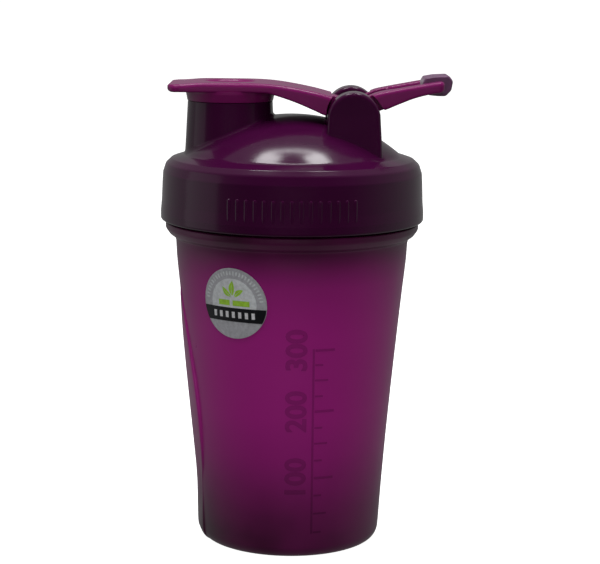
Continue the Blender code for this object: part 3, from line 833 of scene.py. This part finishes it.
def plate_section(x_at, half, top, under, edges, columns, rows, top_at=None):
    """A rounded cross-section of a plate: points right round, starting on top at -y."""
    thick = top - under
    soft = min(edges[0], 0.6 * thick, half * 0.8)
    crisp = min(edges[1], 0.3 * thick, half * 0.4)
    ring = [(y, top_at(y, top) if top_at else top) for y in spaced(-half + soft, half - soft, columns)]
    ring += arc((half - soft, top - soft), soft, 90.0, 0.0, 7)[1:]
    ring += [(half, z) for z in spaced(top - soft, under + crisp, rows)[1:-1]]
    ring += arc((half - crisp, under + crisp), crisp, 0.0, -90.0, 4)
    ring += [(y, under) for y in spaced(half - crisp, -half + crisp, columns)[1:-1]]
    ring += arc((-half + crisp, under + crisp), crisp, -90.0, -180.0, 4)
    ring += [(-half, z) for z in spaced(under + crisp, top - soft, rows)[1:-1]]
    ring += arc((-half + soft, top - soft), soft, 180.0, 90.0, 7)[:-1]
    return [(x_at(z), y, z) for y, z in ring]


def settled(curve, place):
    """Height where a side outline meets a bent end, whose place depends on that height."""
    height = curve[0][1]
    for _ in range(12):
        height = curve_value(curve, place(height))
    return height


def cap_stations():
    """Places along the cap, close together round the tab's corners and the dish."""
    nose = [CAP_LOW[0] + value for value in (0.0, 0.06, 0.22, 0.5, 0.9, 1.5, 2.3, 3.3, 4.2, 5.0)]
    return nose + spaced(-40.0, -7.0, 96) + spaced(-6.4, CAP_BEND_X, 24)


def build_cap(material):
    shape = bmesh.new()

    def dished(x):
        def height(y, top):
            away = hypot(x - SPOUT_X, y)
            if away >= DISH_RADIUS:
                return top
            share = min(1.0, (DISH_RADIUS - away) / DISH_SLOPE)
            wall = share * share * (3.0 - 2.0 * share)
            return top - DISH_DEPTH * (0.8 * wall + 0.2 * (1.0 - away / DISH_RADIUS))
        return height

    rings = [plate_section(lambda z, x=x: x, cap_half_width(x), curve_value(CAP_TOP, x),
                           curve_value(CAP_UNDER, x), CAP_EDGES, CAP_COLUMNS, 3, dished(x))
             for x in cap_stations()]
    for share in spaced(0.0, 1.0, 8)[1:]:
        def bent(z, share=share):
            end = PIVOT[0] - sqrt(max(CAP_NOTCH ** 2 - (z - PIVOT[2]) ** 2, 1.0))
            return CAP_BEND_X + (end - CAP_BEND_X) * share
        rings.append(plate_section(bent, cap_half_width(CAP_BEND_X), settled(CAP_TOP, bent),
                                   settled(CAP_UNDER, bent), CAP_EDGES, CAP_COLUMNS, 3))
    add_rings(shape, rings)
    collar = [(11.0, 169.9, 0.0), (16.5, 169.9, 0.0), (16.45, 168.6, 0.4), (15.9, 165.7, 0.25),
              (12.85, 165.7, 0.3), (12.9, 164.4, 0.5), (12.5, 161.6, 0.6), (11.2, 161.6, 0.6),
              (11.0, 169.8, 0.0)]
    add_turned(shape, refined(rounded(collar, 4), 1.5)[:-1], 112, (SPOUT_X, 0.0))
    hub = arc(PIVOT_XZ, HUB_RADIUS, 90.0, -118.0, 30)
    under = [(x, curve_value(CAP_UNDER, x)) for x in (16.0, 13.6, 11.3, 9.4)]
    top = [(x, curve_value(CAP_TOP, x) - 0.05) for x in (9.4, 12.2, 15.0, 18.5)]
    outlines = [hub + under + top, circle(PIVOT_XZ, PIN_HOLE)]
    add_mesh(shape, slab_from_outline("tongue", outlines, CAP_HUB_Y, 0.0, 0.45))
    add_piece("flip_cap_moulding", shape, [material], "flip_cap", "flip_cap", 34.0)


LOOP_TOP = ((23.0, 166.3), (30.0, 169.5), (34.5, 170.6), (44.4, 172.5), (49.9, 173.5), (55.0, 174.3))
LOOP_UNDER = ((23.0, 158.4), (26.0, 160.3), (30.0, 162.4), (34.3, 164.0), (38.5, 165.8), (44.1, 168.0),
              (49.4, 169.4), (55.0, 170.3))
STRAP_START_X = 35.4
STRAP_ROUND_X = 53.2
STRAP_ROUND = 1.8
STRAP_INNER_Y = 8.0


def loop_inner_edge(x):
    """Inner side of a strap, which steps outwards beyond the hinge."""
    return curve_value(((20.0, LOOP_EYE_INNER_Y), (33.5, LOOP_EYE_INNER_Y), (35.0, 5.8), (36.6, 7.6),
                        (38.0, STRAP_INNER_Y), (60.0, STRAP_INNER_Y)), x)


def strap_ring(place, inner, outer, top, under, side):
    half = 0.5 * (outer - inner)
    middle = 0.5 * (outer + inner)
    ring = plate_section(place, half, top, under, STRAP_EDGES, 8, 4)
    return [(a, side * (middle + b), c) for a, b, c in ring]


def build_loop(material):
    shape = bmesh.new()
    outer_y = LOOP_HIGH[1]
    for side in (-1, 1):
        rings = []
        for share in spaced(0.0, 1.0, 8)[:-1]:
            def bent(z, share=share):
                reach = curve_value(LOOP_NOTCH, z - PIVOT[2])
                start = PIVOT[0] + sqrt(max(reach ** 2 - (z - PIVOT[2]) ** 2, 1.0))
                return start + (STRAP_START_X - start) * share
            rings.append(strap_ring(bent, loop_inner_edge(bent(PIVOT[2])), outer_y, settled(LOOP_TOP, bent),
                                    settled(LOOP_UNDER, bent), side))
        for x in spaced(STRAP_START_X, STRAP_ROUND_X, 30) + [53.8, 54.3, 54.7, 54.9, 55.0]:
            over = max(0.0, x - STRAP_ROUND_X) / STRAP_ROUND
            tuck = STRAP_ROUND * (1.0 - sqrt(max(1.0 - over * over, 0.0)))
            rings.append(strap_ring(lambda z, x=x: x, STRAP_INNER_Y if x > 38.0 else loop_inner_edge(x),
                                    outer_y - tuck, curve_value(LOOP_TOP, x) - 0.6 * tuck,
                                    curve_value(LOOP_UNDER, x) + 0.6 * tuck, side))
        add_rings(shape, rings)
        eye = arc(PIVOT_XZ, HUB_RADIUS, 90.0, 300.0, 34)
        under = [(x, curve_value(LOOP_UNDER, x)) for x in (26.0, 28.0, 30.0, 32.4, 34.6)]
        top = [(x, curve_value(LOOP_TOP, x) - 0.05) for x in (34.6, 32.0, 30.0, 27.0, 24.5)]
        outlines = [eye + under + top, circle(PIVOT_XZ, PIN_HOLE)]
        half, middle = 0.5 * (LOOP_EYE_Y - LOOP_EYE_INNER_Y), 0.5 * (LOOP_EYE_Y + LOOP_EYE_INNER_Y)
        add_mesh(shape, slab_from_outline("arm", outlines, half, side * middle, 0.45))

    def squared(value):
        return copysign(abs(value) ** 0.5, value)

    bar = [[(52.3 + 2.1 * squared(cos(a)), y, 172.0 + 1.4 * squared(sin(a)))
            for a in spaced(0.0, TURN, 32)[:-1]] for y in spaced(-9.0, 9.0, 6)]
    add_rings(shape, bar)
    add_piece("carry_loop_moulding", shape, [material], "carry_loop", "carry_loop", 34.0)


def build_grip(material):
    """A soft sleeve with crowned faces and three shallow finger grooves on top."""
    low, high = GRIP_LOW[0], GRIP_HIGH[0]
    bottom, top = GRIP_LOW[2], GRIP_HIGH[2]
    middle = 0.5 * (low + high)
    outline = rounded([(middle, bottom, 0.0), (high - 2.6, bottom, 2.0), (high - 0.6, bottom + 2.2, 2.0),
                       (high, top - 2.0, 2.0), (high - 1.6, top, 1.6), (low + 4.5, top - 0.25, 1.0),
                       (low + 0.9, top - 0.9, 1.2), (low, top - 2.6, 1.5), (low, bottom + 2.4, 1.5),
                       (low + 2.4, bottom + 0.3, 1.5), (middle, bottom, 0.0)], 6)[:-1]
    outline = refined(outline + outline[:1], 0.7)[:-1]
    centre = (middle, 0.5 * (bottom + top))
    half, edge = GRIP_HIGH[1], 1.4
    rings = []
    stations = spaced(-half, -half + edge, 6) + spaced(-half + edge, half - edge, 36)[1:-1]
    for y in stations + spaced(half - edge, half, 6):
        over = max(0.0, abs(y) - (half - edge)) / edge
        shrink = edge * (1.0 - sqrt(max(1.0 - over * over, 0.0)))
        groove = 0.28 * sum(exp(-((y - place) / 0.55) ** 2) for place in (-3.2, 0.0, 3.2))
        ring = []
        for x, z in outline:
            away = Vector((x - centre[0], z - centre[1]))
            inset = shrink * 0.55 + (groove if z > top - 1.6 else 0.0)
            point = away * (1.0 - inset / max(away.length, 1.0))
            ring.append((centre[0] + point.x, y, centre[1] + point.y))
        rings.append(ring)
    shape = bmesh.new()
    add_rings(shape, rings)
    add_piece("loop_grip_sleeve", shape, [material], "carry_loop", "loop_grip", 34.0)


# Seal, ball, label

def build_seal(material):
    low, high = SEAL_LOW[2], SEAL_HIGH[2]
    inner, outer = 42.0, SEAL_HIGH[0]
    loop = [(inner + 1.5, low, 0.0), (inner + 0.4, low, 0.3), (inner, 0.5 * (low + high), 0.5),
            (inner + 0.4, high, 0.3), (outer - 0.1, high, 0.35), (outer, low, 0.35), (43.4, low, 0.2),
            (43.2, low + 0.35, 0.2), (42.8, low + 0.35, 0.2), (inner + 1.5, low, 0.0)]
    shape = turned_shape(rounded(loop, 4)[:-1], 160)
    add_piece("seal_ring_silicone", shape, [material], "seal", "seal_ring")


def build_ball(material):
    """A tilted spherical coil of wire with tapered ends."""
    turns, per_turn, wire = 8, 56, 0.95
    tilt, pole = radians(28.0), radians(14.0)
    centre = [0.5 * (low + high) for low, high in zip(BALL_LOW, BALL_HIGH)]
    radius = 0.5 * (BALL_HIGH[2] - BALL_LOW[2]) - wire
    route = []
    count = turns * per_turn
    for i in range(count + 1):
        polar = pole + (pi - 2.0 * pole) * i / count
        turn = TURN * turns * i / count
        x = radius * sin(polar) * cos(turn)
        y = radius * sin(polar) * sin(turn)
        z = radius * cos(polar)
        route.append((centre[0] + x * cos(tilt) + z * sin(tilt), centre[1] + y,
                      centre[2] + z * cos(tilt) - x * sin(tilt)))
    taper = [min(1.0, 0.35 + 0.2 * min(i, count - i)) for i in range(count + 1)]
    shape = bmesh.new()
    add_tube(shape, route, wire, 12, taper)
    add_piece("mixing_ball_wire", shape, [material], "mixing_ball", "mixing_ball", 60.0)


def on_label(across, up, lift):
    """A point on the label, from its centre, in the label's own plane, bent round the wall."""
    return on_wall(across, LABEL_Z + up, lift, LABEL_TURN)


def add_patch(shape, grid, lift, material):
    """A thin skin on the label from a grid of (across, up) points."""
    rings = [[on_label(across, up, lift) for across, up in row] for row in grid]
    add_rings(shape, rings, around=False, ends=False, material=material)


def add_round_patch(shape, reach, lift, material, low):
    """A round skin on the label; cells whose middle is below a height are left out."""
    columns, rows = 120, ceil(reach / 0.8)
    radii = spaced(0.0, reach, rows)
    made = {}

    def vertex(row, column):
        key = (row, column % columns if row else 0)
        if key not in made:
            turn = TURN * key[1] / columns
            place = on_label(radii[row] * cos(turn), radii[row] * sin(turn), lift)
            made[key] = shape.verts.new([value * MM for value in place])
        return made[key]

    for row in range(rows):
        for column in range(columns):
            if 0.5 * (radii[row] + radii[row + 1]) * sin(TURN * (column + 0.5) / columns) <= low:
                continue
            cell = [vertex(row, column), vertex(row, column + 1), vertex(row + 1, column + 1),
                    vertex(row + 1, column)]
            shape.faces.new(list(dict.fromkeys(cell))).material_index = material


def add_leaf(shape, base, tip, width, lift, material):
    """A pointed leaf with a groove of background left along its vein."""
    base, vein = Vector(base), 0.1
    along = Vector(tip) - base
    side = Vector((-along.y, along.x)).normalized()
    for hand in (-1, 1):
        rows = []
        for t in spaced(0.0, 1.0, 14):
            swell = width * sin(pi * min(1.0, t * 0.97 + 0.015)) ** 0.85 * (1.0 - 0.25 * t)
            gap = vein * (1.0 - t)
            middle = base + along * t + side * 0.35 * sin(pi * t)
            outer = max(swell, gap + 0.02)
            rows.append([middle + side * hand * (gap + (outer - gap) * k / 3) for k in range(4)])
        add_patch(shape, [[tuple(point) for point in row] for row in rows], lift, material)


def build_label(films):
    """The sticker: foil disc with a rolled edge, pale middle, three-leaf sprig, dashes and a dark band."""
    shape = bmesh.new()
    top = 0.42
    pale, green, black, dashes = 1, 2, 3, 4
    levels = ((0.5, 0.12), (0.0, 0.12), (0.0, top - 0.08), (0.12, top), (1.5, top), (4.5, top), (8.5, top),
              (LABEL_RADIUS, top))
    rings = turned_rings([(LABEL_RADIUS - inset, lift) for inset, lift in levels], 120)
    add_rings(shape, [[on_label(*point) for point in ring] for ring in rings], ends=False)
    low, high = -6.7, -1.6
    add_round_patch(shape, 9.2, top + 0.04, pale, high - 0.3)
    rows = []
    for up in spaced(low, high, 6):
        reach = sqrt((LABEL_RADIUS - 0.12) ** 2 - up ** 2)
        rows.append([(across, up) for across in spaced(-reach, reach, 28)])
    add_patch(shape, rows, top + 0.07, black)
    add_leaf(shape, (-0.1, 2.9), (0.1, 8.3), 1.3, top + 0.08, green)
    add_leaf(shape, (-0.7, 2.5), (-4.1, 5.9), 1.05, top + 0.09, green)
    add_leaf(shape, (0.7, 2.5), (4.3, 5.2), 1.05, top + 0.09, green)
    for start, end in ((-6.0, -1.3), (-0.1, 6.6)):
        grid = [[(x, up) for x in spaced(start, end, 8)] for up in (-0.8, 1.2)]
        add_patch(shape, grid, top + 0.08, green)
    for place in spaced(-7.8, 7.8, 6):
        grid = [[(place + x, up) for x in spaced(-0.62, 0.62, 2)] for up in (-5.3, -3.0)]
        add_patch(shape, grid, top + 0.1, dashes)
    for index in range(26):
        turn = radians(8.0 + 164.0 * index / 25)
        grid = [[(radius * cos(turn + side), radius * sin(turn + side)) for side in (-0.026, 0.026)]
                for radius in (10.4, 11.9)]
        add_patch(shape, grid, top + 0.05, pale)
    add_piece("label_sticker", shape, films, "cup", "label")


# Stage

BOTTLE_MIDDLE = (0.0, 0.0, 0.12)
EVEN_GLOW = 0.15
BACK_GLOW = 0.24
FLOOR_GLOW = 0.09


def build_stage():
    """A wide pale floor."""
    mesh = bpy.data.meshes.new("floor")
    shape = bmesh.new()
    bmesh.ops.create_grid(shape, x_segments=2, y_segments=2, size=30.0)
    shape.to_mesh(mesh)
    shape.free()
    floor = linked("floor", mesh)
    nodes = Nodes("floor_white")
    set_inputs(nodes.shader, {"Base Color": (0.6, 0.6, 0.6, 1.0), "Roughness": 0.7,
                              "Specular IOR Level": 0.2, "Emission Color": (1.0, 1.0, 1.0, 1.0),
                              "Emission Strength": 1.0})
    mesh.materials.append(nodes.material)
    floor.visible_glossy = False
    floor.visible_diffuse = False
    floor.visible_transmission = False


def add_light(name, place, size, power):
    """A soft box turned to the middle of the bottle; places and sizes are in metres."""
    light = bpy.data.lights.new(name, 'AREA')
    light.shape = 'RECTANGLE'
    light.size, light.size_y = size
    light.energy = power
    item = linked(name, light)
    item.location = place
    item.rotation_euler = (Vector(BOTTLE_MIDDLE) - Vector(place)).to_track_quat('-Z', 'Y').to_euler()
    return item


def build_world():
    """White for the camera, even soft light, and reflections brighter behind than in front."""
    world = bpy.data.worlds.new("surround")
    bpy.context.scene.world = world
    world.use_nodes = True
    tree = world.node_tree

    def ranged(source, low, high, start, end):
        node = tree.nodes.new("ShaderNodeMapRange")
        node.interpolation_type = 'SMOOTHSTEP'
        set_inputs(node, {"From Min": low, "From Max": high, "To Min": start, "To Max": end})
        tree.links.new(source, node.inputs["Value"])
        return node.outputs["Result"]

    def brighter(first, second):
        node = tree.nodes.new("ShaderNodeMath")
        node.operation = 'MAXIMUM'
        tree.links.new(first, node.inputs[0])
        tree.links.new(second, node.inputs[1])
        return node.outputs["Value"]

    split = tree.nodes.new("ShaderNodeSeparateXYZ")
    tree.links.new(tree.nodes.new("ShaderNodeTexCoord").outputs["Generated"], split.inputs["Vector"])
    path = tree.nodes.new("ShaderNodeLightPath")
    behind = ranged(split.outputs["Y"], -0.85, 0.4, 0.015, BACK_GLOW)
    below = ranged(split.outputs["Z"], -0.55, -0.95, 0.0, FLOOR_GLOW)
    glossy = tree.nodes.new("ShaderNodeMix")
    glossy.inputs[2].default_value = EVEN_GLOW
    tree.links.new(path.outputs["Is Glossy Ray"], glossy.inputs[0])
    tree.links.new(brighter(behind, below), glossy.inputs[3])
    light = tree.nodes["Background"]
    tree.links.new(brighter(glossy.outputs[0], path.outputs["Is Camera Ray"]), light.inputs["Strength"])
    light.inputs["Color"].default_value = (1.0, 1.0, 1.0, 1.0)


def build_lights():
    """Soft boxes overhead for highlights, one at the left for rims, and two fills that don't reflect."""
    add_light("box_left", (-0.21, 0.15, 1.1), (0.17, 0.2), 1.15)
    add_light("box_right", (0.21, 0.15, 1.1), (0.17, 0.2), 1.15)
    add_light("box_back", (0.0, 0.26, 1.1), (0.42, 0.05), 0.6)
    add_light("box_side", (-1.3, -0.1, 0.25), (0.9, 0.9), 0.55).visible_diffuse = False
    add_light("top_fill", (0.0, -0.2, 1.7), (1.2, 1.2), 25.0).visible_glossy = False
    add_light("front_fill", (-0.05, -1.8, 0.4), (1.2, 1.2), 6.3).visible_glossy = False


def build_camera():
    """A little above the lid, looking down by ten degrees, as the photo does."""
    camera = bpy.data.cameras.new("camera")
    camera.lens = 109.68
    camera.shift_x = 0.0145
    camera.clip_end = 100.0
    item = linked("camera", camera)
    item.location = (0.0, -0.680, 0.2151)
    look_down, roll = 9.82, 0.645
    item.rotation_euler = (radians(90.0 - look_down), 0.0, 0.0)
    bpy.context.view_layer.update()
    item.rotation_euler.rotate_axis('Z', radians(roll))
    bpy.context.scene.camera = item


# Build

bpy.context.scene.view_settings.view_transform = 'Standard'

MAGENTA = (0.5, 0.017, 0.3)
# SHADED_MAGENTA is painted shade, mixed into the cup and its scale at the foot and under the collar.
SHADED_MAGENTA = (0.05, 0.006, 0.028)
LID_PURPLE = (0.044, 0.0022, 0.031)
CAP_MAGENTA = (0.19, 0.006, 0.105)
cap_material = moulded_plastic("cap_magenta", CAP_MAGENTA, 0.24)

build_cup(frosted_plastic("frosted_magenta", MAGENTA, SHADED_MAGENTA, 0.1))
build_scale(frosted_plastic("scale_ink", scaled(MAGENTA, 0.66), scaled(SHADED_MAGENTA, 0.7), 0.0))
build_lid(moulded_plastic("lid_purple", LID_PURPLE, 0.15))
build_pin(moulded_plastic("pin_purple", (0.02, 0.004, 0.016), 0.4))
build_cap(cap_material)
build_loop(cap_material)
build_grip(soft_rubber("grip_soft", (0.13, 0.045, 0.115), 0.42, 0.3))
build_seal(soft_rubber("seal_silicone", (0.6, 0.59, 0.6), 0.45, 0.2))
build_ball(drawn_wire("stainless_wire"))
build_label([printed_film("label_foil", (0.6, 0.6, 0.64), 0.2, 0.34),
             printed_film("label_pale", (0.8, 0.83, 0.85), 0.0, 0.4),
             printed_film("label_green", (0.45, 0.8, 0.06), 0.0, 0.4),
             printed_film("label_black", (0.012, 0.013, 0.016), 0.0, 0.3),
             printed_film("label_dashes", (0.86, 0.86, 0.88), 0.0, 0.4)])
build_stage()
build_world()
build_lights()
build_camera()
